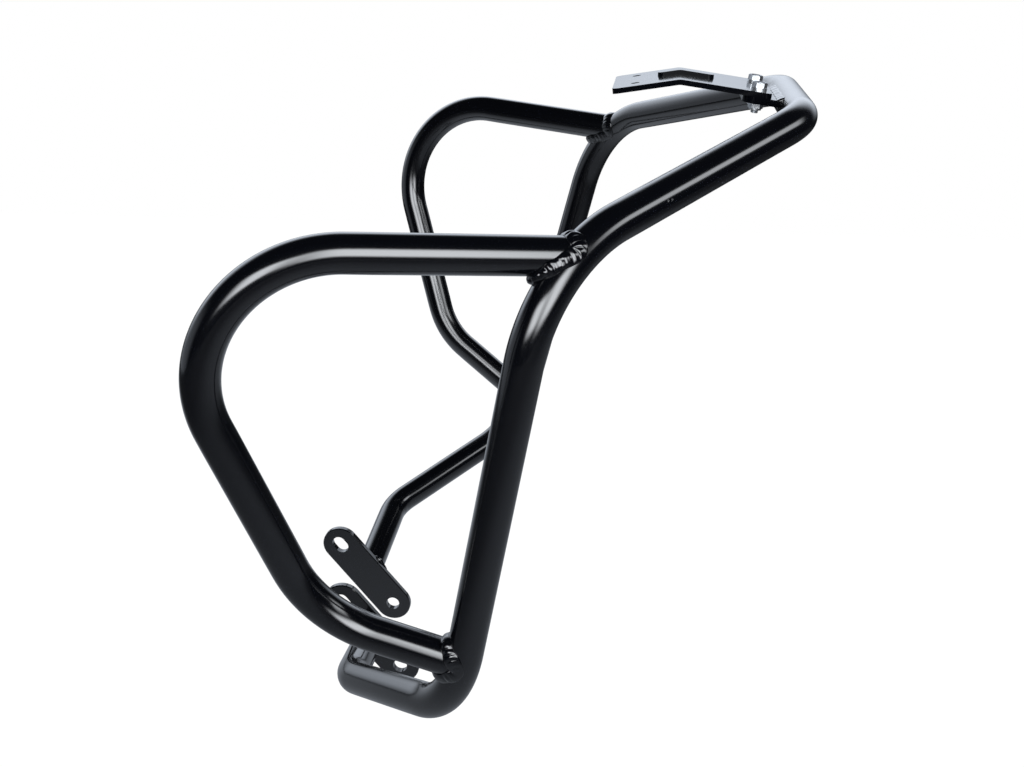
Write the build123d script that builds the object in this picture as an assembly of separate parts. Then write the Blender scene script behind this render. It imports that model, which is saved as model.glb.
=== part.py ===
from build123d import *
import os
from math import cos, radians, sin, tan

# Motorcycle crash bars: one bent hoop round the engine, a loop welded to each side of it,
# two foot plates at its lower ends, and a folded bracket bolted to a tab at its front.
# +X is forward, +Y is the rider's left and +Z is up. The origin is under the frame bracket,
# midway between its two rear bolt holes. Sizes are in millimetres and angles in degrees.

os.makedirs("parts", exist_ok=True)

# Tube stock: inch tube for the hoop, and metric tube, a little thinner, for the side loops
HOOP_OD = 25.4
LOOP_OD = 25.0
TUBE_WALL = 2.0

# Corners of the hoop's axis before bending: back from the origin, out from the midplane, down from the origin
FRONT_HALF = 87.0
SHOULDER_BACK = 45.0
SHOULDER_HALF = 280.0
SHOULDER_DROP = 71.0
KNEE_BACK = 105.0
KNEE_HALF = 278.0
KNEE_DROP = 388.5
FOOT_BACK = 245.5
FOOT_DROP = 474.5
RIGHT_FOOT_AHEAD = 29.0

# Last corner of the hoop, from the centre of its foot plate's inner face
ANKLE_AHEAD = 6.5
ANKLE_OUT = 106.5
ANKLE_RISE = 23.5

# Bend radii on the tubes' axes
FRONT_BEND = 59.0
SHOULDER_BEND = 93.0
KNEE_BEND = 77.0
ANKLE_BEND = 43.0
LOOP_BEND = 82.0

# Side loops: where they meet the hoop, along its axis from the midplane, and their two corners from there
TOP_WELD_AT = 318.0
LOW_WELD_AT = 613.0
TOP_CORNER_BACK = 251.5
TOP_CORNER_OUT = 92.5
TOP_CORNER_RISE = 19.5
LOW_CORNER_BACK = 98.5
LOW_CORNER_OUT = 5.5
LOW_CORNER_RISE = 33.0

# The left half differs from the right: its shoulder lies further ahead, its knee further back, in and down,
# and its loop meets the leg lower and comes down to it more steeply
LEFT_SHOULDER_AHEAD = 5.0
LEFT_KNEE_BACK = 19.5
LEFT_KNEE_IN = 10.5
LEFT_KNEE_DOWN = 11.0
LEFT_LOW_WELD_ON = 18.5
LEFT_LOW_CORNER_AHEAD = 12.0
LEFT_LOW_CORNER_OUT = 10.0
LEFT_LOW_CORNER_UP = 34.5

# Foot plates, with a round hole and a slot at the centres of their round ends
PLATE_GAP = 100.0
PLATE_THICK = 6.0
PLATE_WIDTH = 34.0
PLATE_PITCH = 78.5
PLATE_DIP = 51.0
PLATE_HOLE = 12.5
SLOT_TRAVEL = 4.5
PLATE_EDGE = 0.8

# Frame bracket: a strip folded once, its rear leaf on the frame and its front leaf on the tab
BRACKET_THICK = 4.0
BRACKET_WIDTH = 84.0
BRACKET_CORNER = 5.0
REAR_LEAF_TILT = 8.8
FRONT_LEAF_TILT = 8.3
FOLD_RADIUS = 10.0
REAR_END_TO_HOLES = 17.0
HOLES_TO_FOLD = 33.4
FOLD_TO_BOLTS = 59.0
BOLTS_TO_FRONT_END = 9.0
HOLE_SPACING = 48.0

# Pressed rib that stiffens the fold
RIB_HEIGHT = 3.0
RIB_WIDTH = 9.0
RIB_BEHIND_FOLD = 17.0
RIB_AHEAD_OF_FOLD = 26.0
RIB_GROOVE = 4.0

# Tab under the bracket's front leaf, and how the hoop's front lies to it
TAB_THICK = 5.0
TAB_WIDTH = 84.0
TAB_END_TO_BOLTS = 11.5
TAB_CORNER = 8.0
TAB_ABOVE_AXIS = 2.0
BRACKET_TO_HOOP = 6.0

# M6 hexagon bolts, washers and lock nuts
BOLT_DIAMETER = 6.0
BOLT_CLEARANCE = 0.6
HEX_ACROSS_FLATS = 10.0
HEX_CHAMFER = 0.3
HEX_CHAMFER_ANGLE = 30.0
HEAD_HEIGHT = 4.0
WASHER_OD = 12.0
WASHER_THICK = 1.6
NUT_HEIGHT = 6.0
NUT_COLLAR = 1.2
THREAD_CLEARANCE = 0.2
BOLT_PROUD = 2.5

# Legs of the weld beads, and the blunt end of a conical one
SADDLE_BEAD = 4.0
PLATE_BEAD = 5.0
TAB_BEAD = 3.5
BEAD_LIP = 0.8

HOOP_RADIUS = HOOP_OD / 2
LOOP_RADIUS = LOOP_OD / 2
BOLT_HOLE = BOLT_DIAMETER + BOLT_CLEARANCE
HEX_RADIUS = HEX_ACROSS_FLATS / 2
LEFT, RIGHT = 1, -1
SIDES = {"left": LEFT, "right": RIGHT}
ON_BASE = (Align.CENTER, Align.CENTER, Align.MIN)


def save(solids, name):
    """Write one node: a single piece, or a group of equal pieces."""
    shape = solids[0] if len(solids) == 1 else Compound(children=list(solids))
    shape.label = name
    export_step(shape, f"parts/{name}.step")


def largest(shape):
    """The biggest solid of a shape, without the slivers that a cut can leave."""
    return max(shape.solids(), key=lambda solid: solid.volume)


def rod(axis, radius):
    """Round bar along a bent axis."""
    return sweep(Plane(origin=axis @ 0, z_dir=axis % 0) * Circle(radius), path=axis)


def pipe(axis, radius):
    """Hollow tube along a bent axis."""
    return rod(axis, radius) - rod(axis, radius - TUBE_WALL)


def peg(start, direction, radius, length):
    """Straight round bar from a point."""
    return extrude(Plane(origin=start, z_dir=direction) * Circle(radius), length)


def along(axis, distance):
    """Point at a distance along an axis."""
    return axis @ (distance / axis.length)


# The bracket's two leaves share the fold line, and each has a plane on its underside, +Z out of its top
rear_tilt = radians(REAR_LEAF_TILT)
front_tilt = radians(FRONT_LEAF_TILT)
rear_leaf = Plane(
    origin=(0, 0, 0),
    x_dir=(cos(rear_tilt), 0, sin(rear_tilt)),
    z_dir=(-sin(rear_tilt), 0, cos(rear_tilt)),
)
fold = rear_leaf.from_local_coords(Vector(HOLES_TO_FOLD, 0, 0))
front_leaf = Plane(
    origin=fold,
    x_dir=(cos(front_tilt), 0, -sin(front_tilt)),
    z_dir=(sin(front_tilt), 0, cos(front_tilt)),
)
bolt_places = [(FOLD_TO_BOLTS, side * HOLE_SPACING / 2) for side in SIDES.values()]

# The hoop crosses in front of the bracket, its axis just under the tab's middle
bracket_end = fold + front_leaf.x_dir * (FOLD_TO_BOLTS + BOLTS_TO_FRONT_END)
tab_middle = fold - front_leaf.z_dir * (TAB_THICK / 2)
front_x = bracket_end.X + BRACKET_TO_HOOP + HOOP_RADIUS
front_z = tab_middle.Z - (front_x - tab_middle.X) * tan(front_tilt) - TAB_ABOVE_AXIS
crossing = Vector(front_x, 0, front_z)


def foot_centre(side):
    """Centre of a foot plate's inner face."""
    ahead = RIGHT_FOOT_AHEAD if side == RIGHT else 0
    return Vector(ahead - FOOT_BACK, side * PLATE_GAP / 2, -FOOT_DROP)


def hoop_corners(side):
    """Corners of half the hoop, from its front corner down to its foot plate."""
    front = crossing + Vector(0, side * FRONT_HALF, 0)
    shoulder = Vector(-SHOULDER_BACK, side * SHOULDER_HALF, -SHOULDER_DROP)
    knee = Vector(-KNEE_BACK, side * KNEE_HALF, -KNEE_DROP)
    if side == LEFT:
        shoulder = shoulder + Vector(LEFT_SHOULDER_AHEAD, 0, 0)
        knee = knee - Vector(LEFT_KNEE_BACK, LEFT_KNEE_IN, LEFT_KNEE_DOWN)
    foot = foot_centre(side)
    ankle = foot + Vector(ANKLE_AHEAD, side * ANKLE_OUT, ANKLE_RISE)
    return [front, shoulder, knee, ankle, foot]


hoop_bends = [FRONT_BEND, SHOULDER_BEND, KNEE_BEND, ANKLE_BEND]
half_hoops = {side: FilletPolyline(crossing, *hoop_corners(side), radius=hoop_bends) for side in SIDES.values()}

# Hoop: bent from one tube from foot to foot, its ends cut flush with the plates' outer faces
hoop_axis = FilletPolyline(
    *reversed(hoop_corners(RIGHT)), *hoop_corners(LEFT), radius=hoop_bends[::-1] + hoop_bends
)
hoop_rod = rod(hoop_axis, HOOP_RADIUS)
foot_cut = Pos(-FOOT_BACK, 0, -FOOT_DROP) * Box(FOOT_BACK, PLATE_GAP + 2 * PLATE_THICK, FOOT_BACK)
save([largest(pipe(hoop_axis, HOOP_RADIUS) - foot_cut)], "main_hoop")


# Side loops: both ends start on the hoop's axis and are coped to sit on the hoop like saddles
def loop_axis(side):
    """Axis of a side loop, from its upper end on the hoop to its lower one."""
    top = along(half_hoops[side], TOP_WELD_AT)
    top_corner = top + Vector(-TOP_CORNER_BACK, side * TOP_CORNER_OUT, TOP_CORNER_RISE)
    low_at = LOW_WELD_AT
    low_step = Vector(-LOW_CORNER_BACK, side * LOW_CORNER_OUT, LOW_CORNER_RISE)
    if side == LEFT:
        low_at = low_at + LEFT_LOW_WELD_ON
        low_step = low_step + Vector(LEFT_LOW_CORNER_AHEAD, LEFT_LOW_CORNER_OUT, LEFT_LOW_CORNER_UP)
    low = along(half_hoops[side], low_at)
    return FilletPolyline(top, top_corner, low + low_step, low, radius=[LOOP_BEND, LOOP_BEND])


def saddle_bead(joint, away, side):
    """Weld bead round a loop's end: a sleeve on the loop, as far as it lies close round the hoop."""
    reach = HOOP_OD + LOOP_OD
    sleeve = peg(joint, away, LOOP_RADIUS + SADDLE_BEAD, reach) - peg(joint, away, LOOP_RADIUS, reach)
    return largest((sleeve & rod(half_hoops[side], HOOP_RADIUS + SADDLE_BEAD)) - hoop_rod)


for name, side in SIDES.items():
    axis = loop_axis(side)
    save([largest(pipe(axis, LOOP_RADIUS) - hoop_rod)], f"{name}_loop")
    save([saddle_bead(axis @ 0, axis % 0, side)], f"{name}_upper_weld")
    save([saddle_bead(axis @ 1, -(axis % 1), side)], f"{name}_lower_weld")


# Foot plates: oblong plates along the midplane, the hoop's ends welded to their outer faces
def foot_plate(side):
    """Plate with a round hole at its lower end and a slot at its upper end."""
    dip = radians(PLATE_DIP)
    inner = Plane(origin=foot_centre(side), x_dir=(cos(dip), 0, -sin(dip)), z_dir=(0, side, 0))
    blank = extrude(inner * SlotCenterToCenter(PLATE_PITCH, PLATE_WIDTH), PLATE_THICK)
    blank = chamfer(blank.faces().filter_by(Axis.Y).edges(), PLATE_EDGE)
    holes = Pos(PLATE_PITCH / 2, 0) * Circle(PLATE_HOLE / 2)
    holes += Pos(-PLATE_PITCH / 2, 0) * SlotCenterToCenter(SLOT_TRAVEL, PLATE_HOLE)
    return largest(blank - extrude(inner * holes, PLATE_THICK))


def plate_bead(side):
    """Conical weld bead round the hoop's end, on the plate's outer face."""
    ankle, foot = hoop_corners(side)[-2:]
    outward = (ankle - foot).normalized()
    rise = PLATE_THICK / abs(outward.Y) + PLATE_BEAD - BEAD_LIP
    tip = HOOP_RADIUS + BEAD_LIP
    cone = Plane(origin=foot, z_dir=outward) * Cone(tip + rise, tip, rise, align=ON_BASE)
    return largest(cone - foot_cut - hoop_rod)


for name, side in SIDES.items():
    save([foot_plate(side)], f"{name}_foot_plate")
    save([plate_bead(side)], f"{name}_plate_weld")


# Frame bracket
def folded_bar(low, high, width):
    """Bar as long as the bracket that follows the fold, between two heights over its underside."""
    middle = (low + high) / 2
    rear_reach = HOLES_TO_FOLD + REAR_END_TO_HOLES
    front_reach = FOLD_TO_BOLTS + BOLTS_TO_FRONT_END
    fold_up = (rear_leaf.z_dir + front_leaf.z_dir).normalized() / cos((rear_tilt + front_tilt) / 2)
    line = FilletPolyline(
        fold - rear_leaf.x_dir * rear_reach + rear_leaf.z_dir * middle,
        fold + fold_up * middle,
        fold + front_leaf.x_dir * front_reach + front_leaf.z_dir * middle,
        radius=FOLD_RADIUS + middle,
    )
    start = Plane(origin=line @ 0, x_dir=(0, 1, 0), z_dir=line % 0)
    return sweep(start * Rectangle(width, high - low), path=line)


def plan_prism(outline, middle):
    """Upright prism on a plan outline, tall enough to pass through the bracket."""
    return extrude(Pos(middle, 0, fold.Z) * outline, BRACKET_WIDTH / 2, both=True)


def frame_bracket():
    """Folded strip with round corners, four bolt holes and a pressed rib across the fold."""
    strip = folded_bar(0, BRACKET_THICK, BRACKET_WIDTH)
    box = strip.bounding_box()
    plan = RectangleRounded(box.size.X, BRACKET_WIDTH, BRACKET_CORNER)
    strip = strip & plan_prism(plan, box.center().X)
    rib_middle = fold.X + (RIB_AHEAD_OF_FOLD - RIB_BEHIND_FOLD) / 2
    rib_spacing = RIB_BEHIND_FOLD + RIB_AHEAD_OF_FOLD - RIB_WIDTH
    rib = folded_bar(0, BRACKET_THICK + RIB_HEIGHT, RIB_WIDTH)
    rib = rib & plan_prism(SlotCenterToCenter(rib_spacing, RIB_WIDTH), rib_middle)
    groove = folded_bar(0, RIB_HEIGHT, RIB_GROOVE)
    groove = groove & plan_prism(SlotCenterToCenter(rib_spacing, RIB_GROOVE), rib_middle)
    body = strip + rib - groove
    for leaf, reach in ((rear_leaf, 0), (front_leaf, FOLD_TO_BOLTS)):
        for side in SIDES.values():
            hole = Pos(reach, side * HOLE_SPACING / 2) * Circle(BOLT_HOLE / 2)
            body = body - extrude(leaf * hole, BRACKET_THICK)
    return largest(body)


save([frame_bracket()], "frame_bracket")


# Tab: lies under the bracket's front leaf and butts against the back of the hoop
def tab_slab(low, high):
    """Slab in the tab's outline up to the hoop's axis, between two heights over the front leaf's underside."""
    rear_end = FOLD_TO_BOLTS - TAB_END_TO_BOLTS
    length = front_x - fold.X - rear_end
    outline = Pos(rear_end + length / 2, 0) * Rectangle(length, TAB_WIDTH)
    outline = fillet(outline.vertices().group_by(Axis.X)[0], TAB_CORNER)
    return front_leaf * extrude(Pos(0, 0, low) * outline, high - low)


def front_tab():
    """Plate with two bolt holes, coped to the hoop."""
    slab = tab_slab(-TAB_THICK, 0)
    for place in bolt_places:
        slab = slab - extrude(front_leaf * Pos(*place) * Circle(BOLT_HOLE / 2), -TAB_THICK)
    return largest(slab - hoop_rod)


def tab_beads():
    """Weld beads above and below the tab, where it meets the hoop."""
    start = crossing - Vector(0, TAB_WIDTH / 2, 0)
    near_hoop = peg(start, (0, 1, 0), HOOP_RADIUS + TAB_BEAD, TAB_WIDTH)
    beads = tab_slab(-TAB_THICK - TAB_BEAD, TAB_BEAD) & near_hoop
    beads = beads - tab_slab(-TAB_THICK, 0) - hoop_rod
    return sorted(beads.solids(), key=lambda solid: solid.volume)[-2:]


save([front_tab()], "front_tab")
save(tab_beads(), "tab_welds")


# Fasteners: modelled once round the Z axis, the front leaf's underside at zero, then set at both bolt places
def hexagon(height):
    """Hexagonal prism."""
    return extrude(RegularPolygon(HEX_RADIUS, 6, major_radius=False), height)


def hex_bolt():
    """Bolt with a chamfered head on the washer and its shank through bracket, tab and nut."""
    crown = HEX_RADIUS - HEX_CHAMFER
    taper = Cone(crown + HEAD_HEIGHT / tan(radians(HEX_CHAMFER_ANGLE)), crown, HEAD_HEIGHT, align=ON_BASE)
    shank = WASHER_THICK + BRACKET_THICK + TAB_THICK + NUT_HEIGHT + BOLT_PROUD
    bolt = (hexagon(HEAD_HEIGHT) & taper) + extrude(Circle(BOLT_DIAMETER / 2), -shank)
    return Pos(0, 0, BRACKET_THICK + WASHER_THICK) * bolt


def washer():
    """Flat washer between the bolt's head and the bracket."""
    ring = Circle(WASHER_OD / 2) - Circle(BOLT_HOLE / 2)
    return Pos(0, 0, BRACKET_THICK) * extrude(ring, WASHER_THICK)


def lock_nut():
    """Hexagon nut under the tab, with a round collar for its locking ring."""
    body = hexagon(NUT_HEIGHT - NUT_COLLAR) + extrude(Circle(HEX_RADIUS - HEX_CHAMFER), NUT_HEIGHT)
    nut = body - extrude(Circle((BOLT_DIAMETER + THREAD_CLEARANCE) / 2), NUT_HEIGHT)
    return Pos(0, 0, -TAB_THICK) * mirror(nut, about=Plane.XY)


for name, piece in (("hex_bolts", hex_bolt()), ("washers", washer()), ("lock_nuts", lock_nut())):
    save([largest(front_leaf * Pos(*place) * piece) for place in bolt_places], name)
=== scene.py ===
# %% [markdown]
# Motorcycle crash bars, dressed for a picture.
# The guard is a bent tube hoop with a tube loop welded to each side, two foot plates and a bolted
# bracket. The packed solids give the places and the sizes. This lesson lays smooth tubes, rippled weld
# beads, threaded bolts and a black powder coat over them. Lengths are in metres.

import bmesh
import bpy
import numpy as np
from mathutils import Matrix


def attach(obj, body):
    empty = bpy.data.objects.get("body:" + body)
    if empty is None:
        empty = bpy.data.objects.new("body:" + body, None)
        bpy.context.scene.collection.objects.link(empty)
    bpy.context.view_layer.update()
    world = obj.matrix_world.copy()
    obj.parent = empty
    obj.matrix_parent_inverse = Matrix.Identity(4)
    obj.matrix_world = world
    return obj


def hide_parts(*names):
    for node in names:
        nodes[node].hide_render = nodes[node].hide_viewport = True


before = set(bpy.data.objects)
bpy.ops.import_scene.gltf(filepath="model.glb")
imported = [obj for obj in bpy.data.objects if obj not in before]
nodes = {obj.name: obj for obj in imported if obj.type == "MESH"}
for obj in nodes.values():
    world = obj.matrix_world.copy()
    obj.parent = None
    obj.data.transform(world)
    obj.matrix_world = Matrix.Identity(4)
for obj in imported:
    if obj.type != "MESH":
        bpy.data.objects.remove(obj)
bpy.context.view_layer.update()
print("solids:", sorted(nodes))

# %% [markdown]
# Every new piece is a surface on a grid: rows run along the piece and columns run across it. One helper
# turns such an array of points into a mesh. It joins the columns into a ring where the piece is round,
# joins the last row to the first where it is endless, and otherwise closes both ends with flat caps.
# A mesh made this way needs no loop over its points, and its normals are smooth wherever the grid is.

# %% Grid to mesh
MILLI = 0.001


def unit(vectors):
    """Vectors divided by their own lengths."""
    vectors = np.asarray(vectors, float)
    return vectors / np.linalg.norm(vectors, axis=-1, keepdims=True)


def grid_faces(rows, columns, endless):
    """Four-cornered faces between neighbouring rows, each row a closed ring of columns."""
    index = np.arange(rows * columns).reshape(rows, columns)
    below = index if endless else index[:-1]
    above = np.roll(index, -1, axis=0) if endless else index[1:]
    corners = (below, np.roll(below, -1, axis=1), np.roll(above, -1, axis=1), above)
    return np.stack(corners, axis=-1).reshape(-1, 4)


def ring_piece(name, *grids, endless=False, crease=None):
    """Mesh object from grids of points[row, column, xyz], whose rows are rings.

    Each ring is closed to its neighbour by four-cornered faces. Open ends get a flat cap each.
    """
    faces = []
    first = 0
    for points in grids:
        rows, columns, _ = points.shape
        faces.extend((grid_faces(rows, columns, endless) + first).tolist())
        if not endless:
            faces.append(list(range(first, first + columns))[::-1])
            faces.append(list(range(first + (rows - 1) * columns, first + rows * columns)))
        first += rows * columns
    mesh = bpy.data.meshes.new(name)
    mesh.from_pydata(np.concatenate([points.reshape(-1, 3) for points in grids]).tolist(), [], faces)
    shell = bmesh.new()
    shell.from_mesh(mesh)
    bmesh.ops.recalc_face_normals(shell, faces=shell.faces)
    shell.to_mesh(mesh)
    shell.free()
    mesh.polygons.foreach_set("use_smooth", np.ones(len(mesh.polygons), bool))
    if crease:
        mesh.set_sharp_from_angle(angle=np.radians(crease))
    piece = bpy.data.objects.new(name, mesh)
    bpy.context.scene.collection.objects.link(piece)
    return piece


def dress(piece, material, slot, *replaced):
    """Give a piece its finish and let it stand for the solids that it covers."""
    piece.data.materials.clear()
    piece.data.materials.append(material)
    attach(piece, "root")
    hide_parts(*replaced)
    print(piece.name, "faces:", len(piece.data.polygons))


print("faces on a closed grid of 3 by 4:", len(grid_faces(3, 4, True)))

# %% [markdown]
# A tube bender leaves straight runs joined by arcs. The axis of a bent tube is therefore a chain of
# corner points, each corner rounded by an arc of the bend's radius. Such an axis could be a Blender
# curve with a bevel, but as an array it also tells how sharply and which way the tube turns at each
# point, which the bend marks need later.

# %% Bent axes
AXIS_STEP = 2.4 * MILLI
ARC_POINTS = 160


def bent_axis(corners, radii, step=AXIS_STEP):
    """Points at even steps along straight runs whose corners are rounded by arcs.

    An arc starts where its circle touches the run, radius over the tangent of half the inner angle
    before the corner, and turns about a centre on the corner's bisector.
    """
    corners = np.asarray(corners, float)
    chain = [corners[:1]]
    for before, corner, after, radius in zip(corners, corners[1:], corners[2:], radii):
        back, ahead = unit(before - corner), unit(after - corner)
        half = np.arccos(back @ ahead) / 2
        start = corner + back * radius / np.tan(half)
        centre = corner + unit(back + ahead) * radius / np.sin(half)
        angle = np.linspace(0, np.pi - 2 * half, ARC_POINTS)[:, None]
        chain.append(centre + (start - centre) * np.cos(angle) - back * radius * np.sin(angle))
    chain.append(corners[-1:])
    chain = np.concatenate(chain)
    travel = np.concatenate([[0], np.cumsum(np.linalg.norm(np.diff(chain, axis=0), axis=1))])
    even = np.linspace(0, travel[-1], int(travel[-1] / step) + 1)
    return np.stack([np.interp(even, travel, chain[:, k]) for k in range(3)], axis=1)


def axis_length(axis):
    """Length of a chain of points."""
    return np.linalg.norm(np.diff(axis, axis=0), axis=1).sum()


def point_at(axis, distance):
    """Point at a distance along a chain of points."""
    travel = np.concatenate([[0], np.cumsum(np.linalg.norm(np.diff(axis, axis=0), axis=1))])
    return np.array([np.interp(distance, travel, axis[:, k]) for k in range(3)])


LEFT, RIGHT = 1, -1
SIDES = {"left": LEFT, "right": RIGHT}
HOOP_RADIUS = 12.7 * MILLI
LOOP_RADIUS = 12.5 * MILLI
CROSSING = np.array([119.0, 0.0, -12.0]) * MILLI
HOOP_BENDS = np.array([59.0, 93.0, 77.0, 43.0]) * MILLI
LOOP_BENDS = np.array([82.0, 82.0]) * MILLI
PLATE_FACE = 56.0 * MILLI
TOP_WELD_AT = 318.0 * MILLI
LOW_WELD_AT = {LEFT: 631.5 * MILLI, RIGHT: 613.0 * MILLI}
FRONT_HALF = 87.0 * MILLI
SHOULDER = {LEFT: (-40.0, 280.0, -71.0), RIGHT: (-45.0, -280.0, -71.0)}
KNEE = {LEFT: (-124.5, 267.5, -399.5), RIGHT: (-105.0, -278.0, -388.5)}
ANKLE = {LEFT: (-239.0, 156.5, -451.0), RIGHT: (-210.0, -156.5, -451.0)}
FOOT = {LEFT: (-245.5, 50.0, -474.5), RIGHT: (-216.5, -50.0, -474.5)}
TOP_CORNER = {LEFT: (-251.5, 92.5, 19.5), RIGHT: (-251.5, -92.5, 19.5)}
LOW_CORNER = {LEFT: (-86.5, 15.5, 67.5), RIGHT: (-98.5, -5.5, 33.0)}


def hoop_corners(side):
    """Corners of half the hoop, from its front corner to the inner face of its foot plate."""
    front = CROSSING + np.array([0.0, side * FRONT_HALF, 0.0])
    rest = np.array([SHOULDER[side], KNEE[side], ANKLE[side], FOOT[side]]) * MILLI
    return np.concatenate([front[None], rest])


def loop_corners(side, hoop):
    """Corners of a side loop, from its upper end on the hoop's axis to its lower end."""
    top, low = point_at(hoop, TOP_WELD_AT), point_at(hoop, LOW_WELD_AT[side])
    top_corner = top + np.array(TOP_CORNER[side]) * MILLI
    low_corner = low + np.array(LOW_CORNER[side]) * MILLI
    return np.array([top, top_corner, low_corner, low])


half_hoops = {side: bent_axis([CROSSING, *hoop_corners(side)], HOOP_BENDS) for side in SIDES.values()}
print("half hoops:", {side: round(axis_length(axis), 3) for side, axis in half_hoops.items()})

# %% [markdown]
# A tube that is bent cold is not quite round in its bends: the outer side flattens, the flanks swell a
# little, and the tightest bends pucker on their inner side. A gloss coat shows all of this in its
# reflections. The tube's radius is therefore a function of the place along the axis and the angle
# round it, and not a constant.

# %% Tubes with bend marks
AROUND = 72
FLATTEN = 0.030
SWELL = 0.012
PUCKER_HEIGHT = 0.22 * MILLI
PUCKER_PITCH = 8.5 * MILLI
TIGHTEST = 43.0 * MILLI
SMOOTHING = 15
TUBE_CREASE = 60
FORWARD = (1.0, 0.0, 0.0)
LEFTWARD = (0.0, 1.0, 0.0)


def axis_frames(axis, across):
    """Tangents, and two directions square to them, of a chain of points; across is never along it."""
    tangent = unit(np.gradient(axis, axis=0))
    side = unit(np.cross(tangent, across))
    return tangent, side, np.cross(tangent, side)


def tube_points(axis, radius, across):
    """Points of a bent tube: axis + r * n, where n turns once round the axis.

    r = radius * (1 - flatten * b * (n.c)^2 + swell * b * (1 - (n.c)^2)) + pucker, where c points to the
    centre of the bend and b is the bend's sharpness, 1 at the tightest. The pucker is a wave along the
    axis that only the inner side of a sharp bend has.
    """
    tangent, first, second = axis_frames(axis, across)
    angle = np.linspace(0, 2 * np.pi, AROUND, endpoint=False)
    normal = first[:, None] * np.cos(angle)[:, None] + second[:, None] * np.sin(angle)[:, None]
    step = axis_length(axis) / (len(axis) - 1)
    turning = np.gradient(tangent, axis=0) / step * TIGHTEST
    window = np.hanning(SMOOTHING + 2)[1:-1]
    window = window / window.sum()
    turning = np.stack([np.convolve(part, window, mode="same") for part in turning.T], axis=1)
    sharpness = np.linalg.norm(turning, axis=1)[:, None]
    inward = np.einsum("rcx,rx->rc", normal, turning) / np.maximum(sharpness, 1e-6)
    bend = np.clip(sharpness, 0, 1)
    shape = 1 - FLATTEN * bend * inward**2 + SWELL * bend * (1 - inward**2)
    travel = np.arange(len(axis)) * step
    wave = np.sin(2 * np.pi * travel / PUCKER_PITCH)[:, None]
    pucker = PUCKER_HEIGHT * wave * np.clip(inward, 0, 1) ** 4 * bend**6
    return axis[:, None] + normal * (radius * shape + pucker)[..., None], normal


def hoop_points():
    """Tube points of the whole hoop, from foot to foot, its end rings slid onto the plates' faces."""
    corners = np.concatenate([hoop_corners(RIGHT)[::-1], hoop_corners(LEFT)])
    axis = bent_axis(corners, np.concatenate([HOOP_BENDS[::-1], HOOP_BENDS]))
    keep = np.abs(axis[:, 1]) > PLATE_FACE + HOOP_RADIUS / 3
    keep |= axis[:, 0] > 0
    axis = axis[keep]
    points, _ = tube_points(axis, HOOP_RADIUS, FORWARD)
    ends = []
    for ring, outward in ((points[0], axis[1] - axis[0]), (points[-1], axis[-2] - axis[-1])):
        face = np.sign(ring[:, 1]) * PLATE_FACE
        ends.append(ring + outward * ((face - ring[:, 1]) / outward[1])[:, None])
    return np.concatenate([ends[:1], points, ends[1:]])


hoop = ring_piece("bent_hoop", hoop_points(), crease=TUBE_CREASE)
print("hoop box:", hoop.dimensions[:])

# %% [markdown]
# Each end of a loop is cut like a saddle, so that it sits on the round hoop without a gap. A boolean cut
# would leave ragged edges in the mesh. On each line along the loop's surface, the cut lies where that
# line first comes out of the hoop. The distance to the hoop's axis grows steadily along the line, so
# halving an interval finds the cut for all lines at once.

# %% Saddle cuts
HALVINGS = 40
FINE_STEP = 0.1 * MILLI
SADDLE_REACH = 60.0 * MILLI
COPE_LENGTH = 58.0 * MILLI


def nearest_on(axis, points):
    """For each point, the nearest point of a chain and the distance to it."""
    gaps = np.linalg.norm(points[:, None] - axis[None], axis=2)
    nearest = axis[np.argmin(gaps, axis=1)]
    return nearest, np.linalg.norm(points - nearest, axis=1)


def saddle_cut(hoop_axis, joint, away, normals):
    """Distance along the loop, from the joint, at which each of its surface lines leaves the hoop."""
    low = np.zeros(len(normals))
    high = np.full(len(normals), SADDLE_REACH)
    for _ in range(HALVINGS):
        middle = (low + high) / 2
        _, gap = nearest_on(hoop_axis, joint + normals * LOOP_RADIUS + away * middle[:, None])
        low = np.where(gap < HOOP_RADIUS, middle, low)
        high = np.where(gap < HOOP_RADIUS, high, middle)
    return (low + high) / 2


def fine_hoop(side, joint):
    """Closely spaced points of the hoop's axis near a joint."""
    axis = bent_axis([CROSSING, *hoop_corners(side)], HOOP_BENDS, step=FINE_STEP)
    return axis[np.linalg.norm(axis - joint, axis=1) < SADDLE_REACH]


def coped(points, normals, hoop_axis, joint, away):
    """Rings near a loop's end, slid along it so that the first ring becomes the saddle cut.

    A ring at distance s moves by cut * (1 - s / length), line by line, up to the length.
    """
    cut = saddle_cut(hoop_axis, joint, away, normals[0])
    fade = np.clip(1 - np.arange(len(points)) * AXIS_STEP / COPE_LENGTH, 0, 1)
    return points + away * (cut * fade[:, None])[..., None]


loops = {}
joints = {}
for name, side in SIDES.items():
    axis = bent_axis(loop_corners(side, half_hoops[side]), LOOP_BENDS)
    points, normals = tube_points(axis, LOOP_RADIUS, LEFTWARD)
    for place, end, inner in (("upper", 0, 1), ("lower", -1, -2)):
        joint, away = axis[end], unit(axis[inner] - axis[end])
        near_hoop = fine_hoop(side, joint)
        order = slice(None) if end == 0 else slice(None, None, -1)
        points[order] = coped(points[order], normals[order], near_hoop, joint, away)
        joints[name, place] = (near_hoop, joint, away)
    loops[name] = ring_piece(f"{name}_side_loop", points, crease=TUBE_CREASE)
    print(name, "loop:", round(axis_length(axis), 3), "m of tube")

# %% [markdown]
# A weld bead is laid in short steps, and each step leaves a crescent. On this guard the beads are
# coated with the rest, so only their ripples show, as rows of small highlights. A bead is a profile
# carried along the seam: a bulging curve from its toe on one surface to its toe on the other, closed
# through the seam itself. The ripples push that curve out along its own middle direction.

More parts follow.
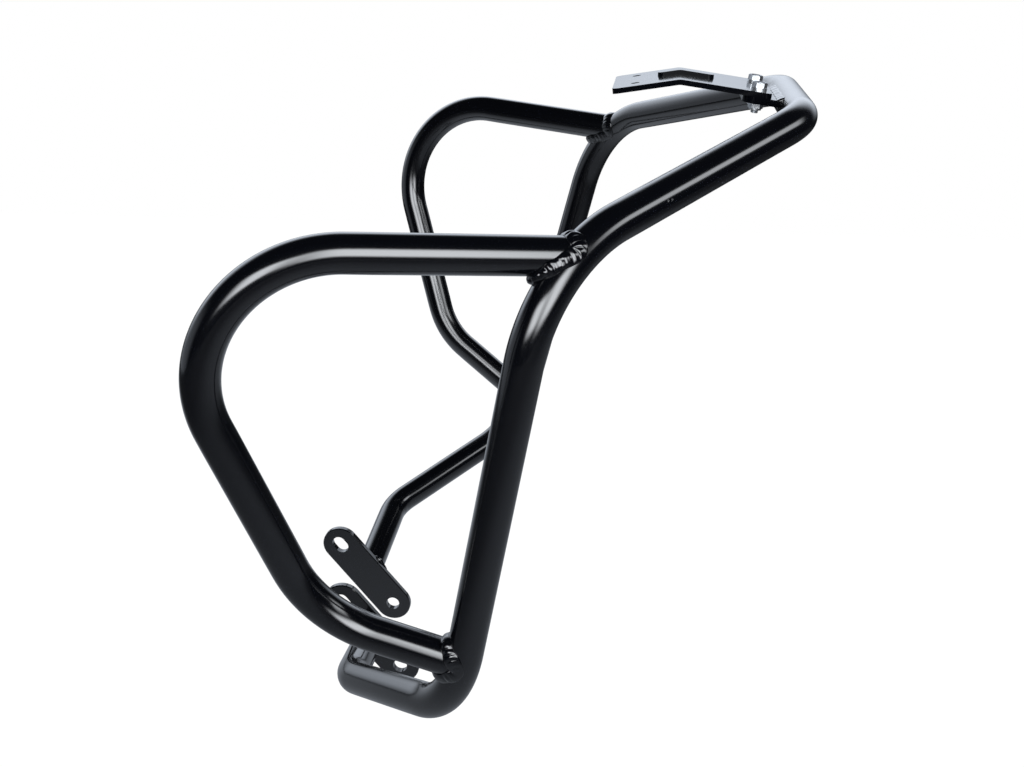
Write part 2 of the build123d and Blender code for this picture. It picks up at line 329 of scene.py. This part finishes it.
# %% Weld beads
SEAM_POINTS = 420
BEAD_POINTS = 14
RIPPLE_PITCH = 4.2 * MILLI
CRESCENT = 0.4
GOLDEN = 0.618
LUMPS = 0.25
ROOT_DEPTH = 1.0 * MILLI
END_TAPER = 4
THINNEST_END = 0.05


def bead_points(seam, one, other, settle, leg, bulge, ripple, closed=True):
    """Points of a weld bead along a seam between two surfaces with normals one and other.

    The legs run square to the seam, in each surface. Between the two toes a and b, with t from 0 to 1,
    the face is (1-t)^2 a + 2t(1-t) m + t^2 b, where m lies above the middle of the toes. Each step of
    the weld adds a dome, ripple * k * 4 f (1-f) * sin(pi t), where f is the part of the step that is
    passed and k, from 0.5 to 1.5, is the step's own scrambled size. Towards the toes the steps lag
    behind. Slow waves round the seam make the hand's pace and the bead's size uneven, and a product of
    two finer waves adds lumps.
    """
    if closed:
        along = unit(np.roll(seam, -1, axis=0) - np.roll(seam, 1, axis=0))
    else:
        along = unit(np.gradient(seam, axis=0))
    on_one = unit(np.cross(along, one))
    on_one = on_one * np.sign((on_one * other).sum(axis=1, keepdims=True))
    on_other = unit(np.cross(along, other))
    on_other = on_other * np.sign((on_other * one).sum(axis=1, keepdims=True))
    gaps = np.linalg.norm(np.diff(seam, axis=0, prepend=seam[-1:] if closed else seam[:1]), axis=1)
    travel = np.cumsum(gaps)
    turns = 2 * np.pi * travel / travel[-1]
    steps = travel + 1.5 * MILLI * np.sin(2 * turns) + 0.8 * MILLI * np.sin(5 * turns + 1)
    size = 1 + 0.08 * np.sin(3 * turns + 1) + 0.07 * np.sin(7 * turns) + 0.04 * np.sin(11 * turns + 2)
    if not closed:
        to_end = np.minimum(travel, travel[-1] - travel)
        size = size * np.clip(END_TAPER * to_end / leg, THINNEST_END, 1) ** 0.5
    reach = (leg * size)[:, None]
    toe_one = seam + on_one * reach
    toe_other = settle(seam + on_other * reach)
    outward = unit(one + other)
    middle = (toe_one + toe_other) / 2 + outward * 2 * bulge * size[:, None]
    t = np.linspace(0, 1, BEAD_POINTS)[None]
    shares = ((1 - t) ** 2, 2 * t * (1 - t), t**2)
    guides = (toe_other, middle, toe_one)
    face = sum(share[..., None] * guide[:, None] for share, guide in zip(shares, guides))
    count = round(travel[-1] / RIPPLE_PITCH)
    place = steps[:, None] / travel[-1] * count + CRESCENT * (2 * t - 1) ** 2
    part = np.mod(place, 1)
    scramble = 0.5 + np.mod(np.mod(np.floor(place), count) * GOLDEN, 1)
    dome = ripple * scramble * 4 * part * (1 - part)
    turns = turns[:, None]
    lump = LUMPS * ripple * np.sin(19 * turns + 6 * t) * np.sin(13 * turns - 7 * t)
    face = face + outward[:, None] * ((dome + lump) * np.sin(np.pi * t))[..., None]
    root = seam - outward * ROOT_DEPTH
    return np.concatenate([face, root[:, None]], axis=1)


def onto_tube(axis, radius):
    """A function that moves points to the surface of a tube."""
    def settle(points):
        nearest, _ = nearest_on(axis, points)
        return nearest + unit(points - nearest) * radius
    return settle


def ring_normals(axis, across):
    """Directions square to an axis, at even angles round it, starting square to across too."""
    first = unit(np.cross(axis, across))
    second = np.cross(axis, first)
    angle = np.linspace(0, 2 * np.pi, SEAM_POINTS, endpoint=False)[:, None]
    return first * np.cos(angle) + second * np.sin(angle)


SADDLE_LEG = 5.4 * MILLI
SADDLE_BULGE = 0.9 * MILLI
SADDLE_RIPPLE = {
    ("left", "upper"): 0.38 * MILLI,
    ("right", "upper"): 0.62 * MILLI,
    ("left", "lower"): 0.32 * MILLI,
    ("right", "lower"): 0.32 * MILLI,
}
beads = {}
for (name, place), (near_hoop, joint, away) in joints.items():
    normal = ring_normals(away, LEFTWARD)
    cut = saddle_cut(near_hoop, joint, away, normal)
    seam = joint + normal * LOOP_RADIUS + away * cut[:, None]
    nearest, _ = nearest_on(near_hoop, seam)
    hoop_normal = unit(seam - nearest)
    settle = onto_tube(near_hoop, HOOP_RADIUS)
    sizes = (SADDLE_LEG, SADDLE_BULGE, SADDLE_RIPPLE[name, place])
    points = bead_points(seam, normal, hoop_normal, settle, *sizes)
    beads[f"{name}_{place}_weld"] = ring_piece(f"{name}_{place}_bead", points, endless=True)
    print(name, place, "seam:", round(axis_length(seam), 4))

# %% [markdown]
# The hoop's two ends stand square on the foot plates, or nearly so, and a bead runs round each end. Here
# one surface is the tube and the other is flat, so a toe on the plate is in its place already.

# %% Plate beads
PLATE_LEG = 5.0 * MILLI
PLATE_BULGE = 0.3 * MILLI
PLATE_RIPPLE = 0.5 * MILLI


def stay(points):
    """Points on a flat plate, which are on its surface already."""
    return points


for name, side in SIDES.items():
    ankle, foot = hoop_corners(side)[-2:]
    outward = unit(ankle - foot)
    normal = ring_normals(outward, FORWARD)
    rim = foot + normal * HOOP_RADIUS
    seam = rim + outward * ((side * PLATE_FACE - rim[:, 1]) / outward[1])[:, None]
    plate_normal = np.tile([0.0, side, 0.0], (SEAM_POINTS, 1))
    points = bead_points(seam, normal, plate_normal, stay, PLATE_LEG, PLATE_BULGE, PLATE_RIPPLE)
    beads[f"{name}_plate_weld"] = ring_piece(f"{name}_plate_bead", points, endless=True)
    print(name, "plate seam:", round(axis_length(seam), 4))

# %% [markdown]
# The tab is a flat plate that butts against the back of the hoop, with one straight bead above it and
# one below. Their seams are lines across the bike, where the tab's two faces meet the round tube. Both
# beads belong to one solid, so they are joined into one piece.

# %% Tab beads
TAB_HALF = 42.0 * MILLI
TAB_LEG = 3.4 * MILLI
TAB_BULGE = 0.15 * MILLI
TAB_RIPPLE = 0.12 * MILLI
REAR_LEAF = 33.4 * MILLI
REAR_TILT = np.radians(8.8)
FOLD = np.array([REAR_LEAF * np.cos(REAR_TILT), 0.0, REAR_LEAF * np.sin(REAR_TILT)])
LEAF_TILT = np.radians(8.3)
LEAF_AHEAD = np.array([np.cos(LEAF_TILT), 0.0, -np.sin(LEAF_TILT)])
LEAF_UP = np.array([np.sin(LEAF_TILT), 0.0, np.cos(LEAF_TILT)])
TAB_THICK = 5.0 * MILLI


def tab_seam(height, facing):
    """Line across the bike where a plane at a height over the front leaf meets the back of the hoop."""
    start = FOLD + LEAF_UP * height
    gap = (CROSSING - start) @ LEAF_UP
    reach = (CROSSING - start) @ LEAF_AHEAD - np.sqrt(HOOP_RADIUS**2 - gap**2)
    spot = start + LEAF_AHEAD * reach
    across = np.linspace(-TAB_HALF, TAB_HALF, SEAM_POINTS) * facing
    return spot + np.outer(across, LEFTWARD)


crossing_axis = CROSSING + np.outer(np.linspace(-TAB_HALF, TAB_HALF, SEAM_POINTS), LEFTWARD)
tab_beads = []
for height, facing in ((0.0, 1.0), (-TAB_THICK, -1.0)):
    seam = tab_seam(height, facing)
    nearest, _ = nearest_on(crossing_axis, seam)
    hoop_normal = unit((seam - nearest) * (1.0, 0.0, 1.0))
    leaf_normal = np.tile(LEAF_UP * facing, (SEAM_POINTS, 1))
    settle = onto_tube(crossing_axis, HOOP_RADIUS)
    sizes = (TAB_LEG, TAB_BULGE, TAB_RIPPLE)
    tab_beads.append(bead_points(seam, leaf_normal, hoop_normal, settle, *sizes, closed=False))
beads["tab_welds"] = ring_piece("tab_beads", *tab_beads)
print("beads:", sorted(beads))

# %% [markdown]
# The bracket is held to the tab by hexagon bolts. A bolt is one surface turned about its axis: from the
# middle of the head out to its chamfer, down the six flats, in under the head and down the shank to a
# thread. The radius of the flats depends on the angle, and that of the thread on the angle and the
# height, so one grid holds them all.

# %% Hexagon bolts
BOLT_RADIUS = 3.0 * MILLI
THREAD_DEPTH = 0.55 * MILLI
THREAD_PITCH = 1.0 * MILLI
THREAD_LENGTH = 9.0 * MILLI
HEX_RADIUS = 5.0 * MILLI
HEAD_HEIGHT = 4.0 * MILLI
BRACKET_THICK = 4.0 * MILLI
WASHER_THICK = 1.6 * MILLI
SHANK_LENGTH = 19.1 * MILLI
DISH_DEPTH = 0.35 * MILLI
CHAMFER = np.pi / 6
CHAMFER_SHARE = 0.95
DISH_SHARES = (0.72, 0.80)
POLE_RADIUS = 0.02 * MILLI
RINGS_PER_PITCH = 10
BOLT_AROUND = 96
BOLT_CREASE = 25
BOLTS_AHEAD = 59.0 * MILLI
BOLTS_APART = 48.0 * MILLI
BOLT_LINE = FOLD + LEAF_AHEAD * BOLTS_AHEAD
BOLT_SPOTS = [BOLT_LINE + np.array([0.0, side * BOLTS_APART / 2, 0.0]) for side in SIDES.values()]


def hex_bolt_points():
    """Rings of a bolt, head up, the head's underside at height 0.

    A flat's radius is h / cos(a), with a the angle from the middle of the nearest flat. Outside its
    chamfer circle the head's top edge falls by a third of a right angle. The thread's radius falls by a
    triangle wave of height over pitch minus angle over a turn, and fades in along the shank.
    """
    angle = np.linspace(0, 2 * np.pi, BOLT_AROUND, endpoint=False)
    flat = HEX_RADIUS / np.cos(np.mod(angle, np.pi / 3) - np.pi / 6)
    crown = HEX_RADIUS * CHAMFER_SHARE
    fall = HEAD_HEIGHT - (flat - crown) * np.tan(CHAMFER)
    dish = HEAD_HEIGHT - DISH_DEPTH
    even = np.ones(BOLT_AROUND)
    head = [
        (POLE_RADIUS * even, dish * even),
        (crown * DISH_SHARES[0] * even, dish * even),
        (crown * DISH_SHARES[1] * even, HEAD_HEIGHT * even),
        (crown * even, HEAD_HEIGHT * even),
        (flat, fall),
        (flat, 0 * even),
        (BOLT_RADIUS * even, 0 * even),
    ]
    radii, heights = zip(*head)
    down = np.linspace(0, SHANK_LENGTH, int(SHANK_LENGTH / THREAD_PITCH * RINGS_PER_PITCH))[:, None]
    wave = np.abs(2 * np.mod(down / THREAD_PITCH - angle / (2 * np.pi), 1) - 1)
    fade = np.clip((down - SHANK_LENGTH + THREAD_LENGTH) / THREAD_PITCH, 0, 1)
    taper = np.clip((down - SHANK_LENGTH + THREAD_PITCH) / THREAD_PITCH, 0, 1)
    thread = BOLT_RADIUS - THREAD_DEPTH * np.maximum(wave * fade, taper)
    radius = np.concatenate([np.array(radii), thread])
    height = np.concatenate([np.array(heights), -down * even])
    return np.stack([radius * np.cos(angle), radius * np.sin(angle), height], axis=-1)


def on_leaf(points, spot, height):
    """Points about the Z axis, set upright on the front leaf, at a height over its underside."""
    return spot + LEAF_UP * height + points @ np.array([LEAF_AHEAD, LEFTWARD, LEAF_UP])


upright = hex_bolt_points()[::-1]
bolt_grids = [on_leaf(upright, spot, BRACKET_THICK + WASHER_THICK) for spot in BOLT_SPOTS]
bolts = ring_piece("hexagon_bolts", *bolt_grids, crease=BOLT_CREASE)
print("bolts:", len(bolts.data.vertices), "points")

# %% [markdown]
# Shader maths reads best as plain expressions. Nodes could be added and linked one by one, but then a
# formula takes a page. This class wraps a socket of a shader graph: an operator on it adds a Math node,
# and its node method adds any other node, with settings first and sockets after.

# %% Shader expressions
class Wire:
    """A socket of a shader graph that takes part in Python expressions."""

    def __init__(self, tree, socket=None):
        self.tree = tree
        self.socket = socket

    def feed(self, target, value):
        """Link a wire to a socket, or set the socket's own value."""
        if isinstance(value, Wire):
            self.tree.links.new(value.socket, target)
        else:
            target.default_value = value

    def node(self, kind, settings=None, sockets=None, output=0):
        """Add a node of a kind, set its settings, then feed its sockets, and return one output."""
        made = self.tree.nodes.new("ShaderNode" + kind)
        for key, value in (settings or {}).items():
            setattr(made, key, value)
        for key, value in (sockets or {}).items():
            self.feed(made.inputs[key], value)
        return Wire(self.tree, made.outputs[output])

    def math(self, operation, *values):
        """Add a Math node on wires and numbers."""
        return self.node("Math", {"operation": operation}, dict(enumerate(values)))

    def __add__(self, other):
        return self.math("ADD", self, other)

    def __sub__(self, other):
        return self.math("SUBTRACT", self, other)

    def __rsub__(self, other):
        return self.math("SUBTRACT", other, self)

    def __mul__(self, other):
        return self.math("MULTIPLY", self, other)

    def __lt__(self, other):
        return self.math("LESS_THAN", self, other)

    __radd__ = __add__
    __rmul__ = __mul__

    def band(self, low, high):
        """Rises smoothly from 0 at low to 1 at high."""
        settings = {"interpolation_type": "SMOOTHSTEP"}
        return self.node("MapRange", settings, {"Value": self, "From Min": low, "From Max": high})

    def blend(self, first, second):
        """Colour that goes from first to second as this wire goes from 0 to 1."""
        return self.node("Mix", {"data_type": "RGBA"}, {0: self, 6: first, 7: second}, output=2)


def new_finish(name):
    """An empty material with its graph, its Principled shader and the Object coordinates."""
    material = bpy.data.materials.new(name)
    material.use_nodes = True
    graph = Wire(material.node_tree)
    shader = material.node_tree.nodes["Principled BSDF"]
    return material, graph, shader, graph.node("TexCoord", output="Object")


def noise(graph, place, scale, detail=2.0, roughness=0.5):
    """Noise between 0 and 1 on Object coordinates, scale in waves to the metre."""
    sockets = {"Vector": place, "Scale": scale, "Detail": detail, "Roughness": roughness}
    return graph.node("TexNoise", {}, sockets)


def vector_value(graph, operation, first, second):
    """Number that comes from two vectors, such as their distance or their dot product."""
    return graph.node("VectorMath", {"operation": operation}, {0: first, 1: second}, output="Value")


def part_of(graph, vector, axis):
    """One of the three parts of a vector."""
    return graph.node("SeparateXYZ", {}, {"Vector": vector}, output=axis)


def rough_skin(graph, shader, height, strength, depth):
    """Let a height, up to a depth in metres, tilt the shader's normal."""
    sockets = {"Strength": strength, "Distance": depth, "Height": height}
    graph.feed(shader.inputs["Normal"], graph.node("Bump", {}, sockets, output="Normal"))


def paint_solid(name, finish):
    """Put a finish on a solid that stays in the picture."""
    nodes[name].data.materials.clear()
    nodes[name].data.materials.append(finish)


print("methods of a wire:", [name for name in vars(Wire) if not name.startswith("_")])

# %% [markdown]
# Powder coat is sprayed as dry paint and melted in an oven. It flows into a thick gloss skin with a
# faint orange peel, here a bump of small smooth waves. The gloss itself is uneven: handling leaves
# duller clouds, and a little dust lies on it. Two small marks on the front run show bare metal. They
# could be painted on an image, but spots with a ragged edge need none and stay sharp close up.

# %% Black powder coat
BLACK = (0.0016, 0.0019, 0.0032, 1)
DUST = (0.030, 0.031, 0.034, 1)
BARE = (0.30, 0.30, 0.31, 1)
# Each chip: place and size in millimetres. The first two run together into one mark.
CHIPS = [((26.7, -214.7, -45.9), 1.2), ((28.9, -212.0, -45.7), 1.2), ((61.6, -171.7, -41.8), 1.1)]
CHIP_RAGGED = 1.6
CHIP_MARGIN = 0.5
PEEL_DEPTH = 0.5 * MILLI
PEEL_WAVES = 330.0
CLOUD_WAVES = 14.0
DUST_WAVES = 21.0
SPECK_WAVES = 1900.0
CHIP_WAVES = 900.0
TUBE_GLOSS = (0.12, 1.6, 0.5)


def set_gloss(shader, roughness, index, sheen):
    """A clear layer with a roughness and a refractive index, over a pigment with a share of sheen."""
    shader.inputs["Coat Roughness"].default_value = roughness
    shader.inputs["Coat IOR"].default_value = index
    shader.inputs["Specular IOR Level"].default_value = sheen


def black_powder_coat():
    """Gloss black coat with orange peel in its normal, clouds in its roughness, dust and chips.

    A chip is where the distance to its spot, made uneven by noise, is less than its size.
    """
    material, graph, shader, place = new_finish("black_powder_coat")
    peel = noise(graph, place, PEEL_WAVES, 1.5)
    cloud = noise(graph, place, CLOUD_WAVES, 4.0, 0.6)
    dusty = noise(graph, place, DUST_WAVES, 2.0).band(0.45, 0.7)
    speck = noise(graph, place, SPECK_WAVES, 1.0).band(0.74, 0.80) * dusty
    ragged = noise(graph, place, CHIP_WAVES, 2.0) * (CHIP_RAGGED * MILLI)
    chip = None
    for spot, size in CHIPS:
        gap = vector_value(graph, "DISTANCE", place, tuple(value * MILLI for value in spot))
        mark = gap + ragged < (size + CHIP_MARGIN) * MILLI
        chip = mark if chip is None else chip + mark
    colour = speck.blend(BLACK, DUST)
    graph.feed(shader.inputs["Base Color"], chip.blend(colour, BARE))
    graph.feed(shader.inputs["Metallic"], chip * 0.8)
    graph.feed(shader.inputs["Roughness"], 0.10 + cloud * 0.10 + speck * 0.3)
    graph.feed(shader.inputs["Coat Weight"], 1.0 - chip)
    rough_skin(graph, shader, peel, 0.045, PEEL_DEPTH)
    set_gloss(shader, *TUBE_GLOSS)
    return material


coat = black_powder_coat()
dress(hoop, coat, "black_powder_coat", "main_hoop")
for name, loop in loops.items():
    dress(loop, coat, "black_powder_coat", f"{name}_loop")
for node, bead in beads.items():
    dress(bead, coat, "black_powder_coat", node)

# %% [markdown]
# The plates, the tab and the bracket are cut from sheet and have flat faces, so their solids stay, and
# new meshes would add nothing. They have the same coat with smaller clouds. A pale film lies on level
# faces, top and underside alike. It is partly dust and partly painted light, a paler tone that stands in
# for light from above. On the tab and the bracket the coat covers the level faces well and lies thin on
# upright ones, such as their cut edges, which look duller.

# %% Coat on the flat pieces
# Pale film on level faces: partly dust, partly painted light standing in for light from above.
FILM_AND_PAINTED_LIGHT = (0.060, 0.062, 0.066, 1)
SHEET_COAT_ROUGHNESS = 0.09
SHEET_PEEL_WAVES = 380.0
SHEET_CLOUD_WAVES = 40.0
SHEET_SPECK_WAVES = 1700.0


def sheet_coat(name, upright_share, index, sheen):
    """The black coat on cut sheet, whose gloss on upright faces is a share of that on level ones.

    A face is level where its normal's upright part is near 1 or -1. Clouds break up the pale film on
    level faces, which is partly dust and partly painted light.
    """
    material, graph, shader, place = new_finish(name)
    peel = noise(graph, place, SHEET_PEEL_WAVES, 2.0)
    cloud = noise(graph, place, SHEET_CLOUD_WAVES, 3.0, 0.6)
    speck = noise(graph, place, SHEET_SPECK_WAVES, 1.0).band(0.73, 0.80)
    normal = graph.node("TexCoord", output="Normal")
    level = graph.math("ABSOLUTE", part_of(graph, normal, "Z")).band(0.75, 0.95)
    # Painted light: level faces, top and underside alike, get a pale film in their colour, partly dust.
    film_and_painted_light = level * cloud.band(0.25, 0.75)
    graph.feed(shader.inputs["Base Color"], film_and_painted_light.blend(speck.blend(BLACK, DUST), FILM_AND_PAINTED_LIGHT))
    graph.feed(shader.inputs["Roughness"], 0.10 + cloud * 0.12 + speck * 0.2)
    graph.feed(shader.inputs["Coat Weight"], upright_share + level * (1 - upright_share))
    rough_skin(graph, shader, peel, 0.05, PEEL_DEPTH)
    set_gloss(shader, SHEET_COAT_ROUGHNESS, index, sheen)
    return material


plate_coat = sheet_coat("black_coat_on_plates", upright_share=0.95, index=1.6, sheen=0.5)
strip_coat = sheet_coat("black_coat_on_strips", upright_share=0.02, index=2.5, sheen=0.03)
SHEET_FINISH = {
    "left_foot_plate": plate_coat,
    "right_foot_plate": plate_coat,
    "front_tab": strip_coat,
    "frame_bracket": strip_coat,
}
for name, finish in SHEET_FINISH.items():
    paint_solid(name, finish)
print("coated solids:", list(SHEET_FINISH))

# %% [markdown]
# Bolts, washers and nuts are zinc plated: a bright bluish metal with a fine grain and cloudy patches.
# One even metal would look like chrome, so noise varies its colour and its roughness.

# %% Zinc plate
ZINC_LIGHT = (0.74, 0.76, 0.78, 1)
ZINC_DARK = (0.52, 0.54, 0.57, 1)
GRAIN_DEPTH = 0.2 * MILLI
GRAIN_WAVES = 3200.0
ZINC_CLOUD_WAVES = 420.0


def zinc_plate():
    """Bright zinc: cloudy colour and roughness, and a fine grain in the normal."""
    material, graph, shader, place = new_finish("zinc_plate")
    cloud = noise(graph, place, ZINC_CLOUD_WAVES, 4.0, 0.6)
    grain = noise(graph, place, GRAIN_WAVES, 2.0)
    graph.feed(shader.inputs["Base Color"], cloud.band(0.35, 0.7).blend(ZINC_LIGHT, ZINC_DARK))
    graph.feed(shader.inputs["Roughness"], 0.30 + cloud * 0.22)
    rough_skin(graph, shader, grain, 0.2, GRAIN_DEPTH)
    shader.inputs["Metallic"].default_value = 1.0
    return material


zinc = zinc_plate()
dress(bolts, zinc, "zinc_plate", "hex_bolts")
for name in ("washers", "lock_nuts"):
    paint_solid(name, zinc)
    print(name, "plated")

# %% [markdown]
# The picture is taken on a white sweep. A floor lit to white would need so much light that the guard
# turned grey, so the camera simply sees the floor as white, with a trace of shadow on it. In the coat's
# reflections the floor is dark, with two painted pools of light, glowing patches that stand in for lamp
# light on it: one under the guard and one behind it on the left. The coat would look flat if it mirrored
# white all round.

# %% Floor
FLOOR_HEIGHT = -0.538
FLOOR_HALF = 1.8
SHADOW_SHARE = 0.05
SHEET = (0.8, 0.8, 0.8, 1)
WHITE = (1.0, 1.0, 1.0, 1)
COOL_WHITE = (0.82, 0.89, 1.0, 1)
CAMERA_LEVEL = 1.06
FLOOR_LEVEL = 0.02
# Each painted pool of light: centre, inner and outer radius, and brightness.
POOLS = [((0.12, -0.20, 0.0), 0.20, 0.95, 0.18), ((-0.55, 0.55, 0.0), 0.25, 0.90, 0.40)]


def white_floor():
    """Pale sheet with its shadow, almost wholly replaced by a glow.

    The glow is white for the camera. In reflections it is a dim level plus painted pools of light, each
    of which fades from its inner radius to its outer one.
    """
    material = bpy.data.materials.new("white_floor")
    material.use_nodes = True
    tree = material.node_tree
    tree.nodes.remove(tree.nodes["Principled BSDF"])
    graph = Wire(tree)
    place = graph.node("TexCoord", output="Object")
    on_plan = graph.node("VectorMath", {"operation": "MULTIPLY"}, {0: place, 1: (1.0, 1.0, 0.0)})
    painted_floor_light = FLOOR_LEVEL
    # Painted pools of light: the floor's glow in reflections is brighter under the guard and behind it
    # on the left.
    for centre, inner, outer, brightness in POOLS:
        away = vector_value(graph, "DISTANCE", on_plan, centre)
        painted_floor_light = painted_floor_light + (1.0 - away.band(inner, outer)) * brightness
    camera = graph.node("LightPath", output="Is Camera Ray")
    glossy = graph.node("LightPath", output="Is Glossy Ray")
    clear = graph.node("LightPath", output="Is Transmission Ray")
    sheet = graph.node("BsdfDiffuse", {}, {"Color": SHEET})
    level = camera * CAMERA_LEVEL + (1.0 - camera) * painted_floor_light
    white = graph.node("Emission", {}, {"Color": camera.blend(COOL_WHITE, WHITE), "Strength": level})
    share = (camera + glossy + clear) * (1 - SHADOW_SHARE)
    mixed = graph.node("MixShader", {}, {0: share, 1: sheet, 2: white})
    graph.feed(tree.nodes["Material Output"].inputs["Surface"], mixed)
    return material


corner = FLOOR_HALF * np.array([[-1, -1, 0], [1, -1, 0], [1, 1, 0], [-1, 1, 0]]) + [0, 0, FLOOR_HEIGHT]
floor_mesh = bpy.data.meshes.new("floor")
floor_mesh.from_pydata(corner.tolist(), [], [(0, 1, 2, 3)])
floor = bpy.data.objects.new("floor", floor_mesh)
floor_mesh.materials.append(white_floor())
bpy.context.scene.collection.objects.link(floor)
print("floor:", floor.dimensions[:2], "at", FLOOR_HEIGHT)

# %% [markdown]
# A gloss black coat shows little more than what it mirrors. In this picture that is a white wall behind
# the guard, a dim screen on the left and otherwise a dark room, which keeps the tubes black between
# their highlights. The wall could be a lit plane, but then it would stand in the way of other views. The
# world's colour, worked out from the direction, has no place and hides nothing.

# %% Room
WALL_LEVEL = 1.35
WALL_DIRECTION = (-0.28, 0.96, 0.0)
WALL_SIDES = (0.45, 0.85)
WALL_FOOT = (-0.15, 0.25)
WALL_TOP = (0.45, 0.75)
SCREEN_LEVEL = 0.3
SCREEN_DIRECTION = (-0.98, 0.18, 0.0)
SCREEN_SIDES = (0.75, 0.95)
SCREEN_TOP = (0.10, 0.40)
DARK_LEVEL = 0.012


def studio_room():
    """World that is white to the camera and otherwise a dark room with a wall and a screen.

    Both are soft-edged bands: of the dot product with their direction, and of the direction's height.
    """
    world = bpy.data.worlds.new("studio_room")
    world.use_nodes = True
    bpy.context.scene.world = world
    graph = Wire(world.node_tree)
    direction = graph.node("TexCoord", output="Generated")
    height = part_of(graph, direction, "Z")
    behind = vector_value(graph, "DOT_PRODUCT", direction, WALL_DIRECTION)
    wall = behind.band(*WALL_SIDES) * height.band(*WALL_FOOT) * (1.0 - height.band(*WALL_TOP))
    beside = vector_value(graph, "DOT_PRODUCT", direction, SCREEN_DIRECTION)
    screen = beside.band(*SCREEN_SIDES) * (1.0 - height.band(*SCREEN_TOP))
    room = DARK_LEVEL + wall * WALL_LEVEL + screen * SCREEN_LEVEL
    clear = graph.node("LightPath", output="Is Transmission Ray")
    seen = graph.node("LightPath", output="Is Camera Ray") + clear
    background = world.node_tree.nodes["Background"]
    graph.feed(background.inputs["Strength"], seen + (1.0 - seen) * room)
    graph.feed(background.inputs["Color"], seen.blend(COOL_WHITE, WHITE))


studio_room()
print("room:", len(bpy.context.scene.world.node_tree.nodes), "nodes")

# %% [markdown]
# Two wide soft boxes stand beside the camera and give the long streaks on the tubes. A third one, nearer
# and dimmer, stands on the right and carries the streak on round the front corner. Each is an area lamp
# that faces the guard. A plain one would have hard edges in the coat, so its light fades towards them.

# %% Lamps
AIM = np.array([-0.10, 0.0, -0.22])
# Each lamp: compass angle from the camera's side and height angle, distance, width and height as angles,
# and brightness.
LAMPS = {
    "left_soft_box": (-10.5, 19.0, 2.0, 45.0, 30.0, 6.6),
    "right_soft_box": (25.0, 19.0, 2.0, 50.0, 44.0, 6.6),
    "side_soft_box": (80.0, 28.0, 1.6, 62.0, 20.0, 3.2),
}
LAMP_COLOUR = (0.93, 0.96, 1.0)
SOFT_SIDES = 0.45
SOFT_ENDS = 0.30


def soften(lamp):
    """Let a lamp's light fade towards its four edges, as the cloth of a soft box does."""
    lamp.use_nodes = True
    graph = Wire(lamp.node_tree)
    spot = graph.node("NewGeometry", output="Parametric")
    across = part_of(graph, spot, "X")
    up = part_of(graph, spot, "Y")
    level = across.band(0.0, SOFT_SIDES) * (1.0 - across).band(0.0, SOFT_SIDES)
    level = level * up.band(0.0, SOFT_ENDS) * (1.0 - up).band(0.0, SOFT_ENDS)
    graph.feed(lamp.node_tree.nodes["Emission"].inputs["Strength"], level)


def look_along(direction):
    """Rotation that turns an object's -Z axis along a direction, its Y axis up."""
    back = -unit(direction)
    right = unit(np.cross((0.0, 0.0, 1.0), back))
    up = np.cross(back, right)
    matrix = np.eye(4)
    matrix[:3, :3] = np.stack([right, up, back], axis=1)
    return matrix


def place_object(thing, spot, direction):
    """Set an object at a spot, its -Z axis along a direction."""
    matrix = look_along(direction)
    matrix[:3, 3] = spot
    thing.matrix_world = Matrix(matrix.tolist())
    bpy.context.scene.collection.objects.link(thing)


def direction_of(compass, height):
    """Direction at a compass angle from -Y towards +X and at an angle over the horizon, in radians."""
    level = np.cos(height)
    return np.array([np.sin(compass) * level, -np.cos(compass) * level, np.sin(height)])


for name, (compass, height, distance, wide, tall, level) in LAMPS.items():
    toward = direction_of(np.radians(compass), np.radians(height))
    lamp = bpy.data.lights.new(name, "AREA")
    lamp.shape = "RECTANGLE"
    lamp.color = LAMP_COLOUR
    lamp.size = 2 * distance * np.tan(np.radians(wide / 2))
    lamp.size_y = 2 * distance * np.tan(np.radians(tall / 2))
    lamp.energy = level * np.pi * lamp.size * lamp.size_y
    soften(lamp)
    place_object(bpy.data.objects.new(name, lamp), AIM + toward * distance, -toward)
    print(name, "watts:", round(lamp.energy, 1))

# %% [markdown]
# The camera stands at the guard's right side, a little above it and about a metre away, with a lens a
# little longer than normal. Its place comes from lining up the tubes' edges with the picture.

# %% Camera
CAMERA_SPOT = np.array([0.0200, -0.9873, 0.1162])
CAMERA_YAW = -0.1186
CAMERA_PITCH = 0.3549
LENS_PIXELS = 1236.9
PICTURE_WIDE = 1024
SENSOR = 36.0
ahead = -direction_of(-CAMERA_YAW, CAMERA_PITCH)
camera_data = bpy.data.cameras.new("camera")
camera_data.sensor_fit = "HORIZONTAL"
camera_data.sensor_width = SENSOR
camera_data.lens = LENS_PIXELS / PICTURE_WIDE * SENSOR
camera = bpy.data.objects.new("camera", camera_data)
place_object(camera, CAMERA_SPOT, ahead)
bpy.context.scene.camera = camera
bpy.context.scene.view_settings.view_transform = "Standard"
print("lens:", round(camera_data.lens, 2))

# %% [markdown] The view layer is brought up to date.

# %% Finish
bpy.context.view_layer.update()
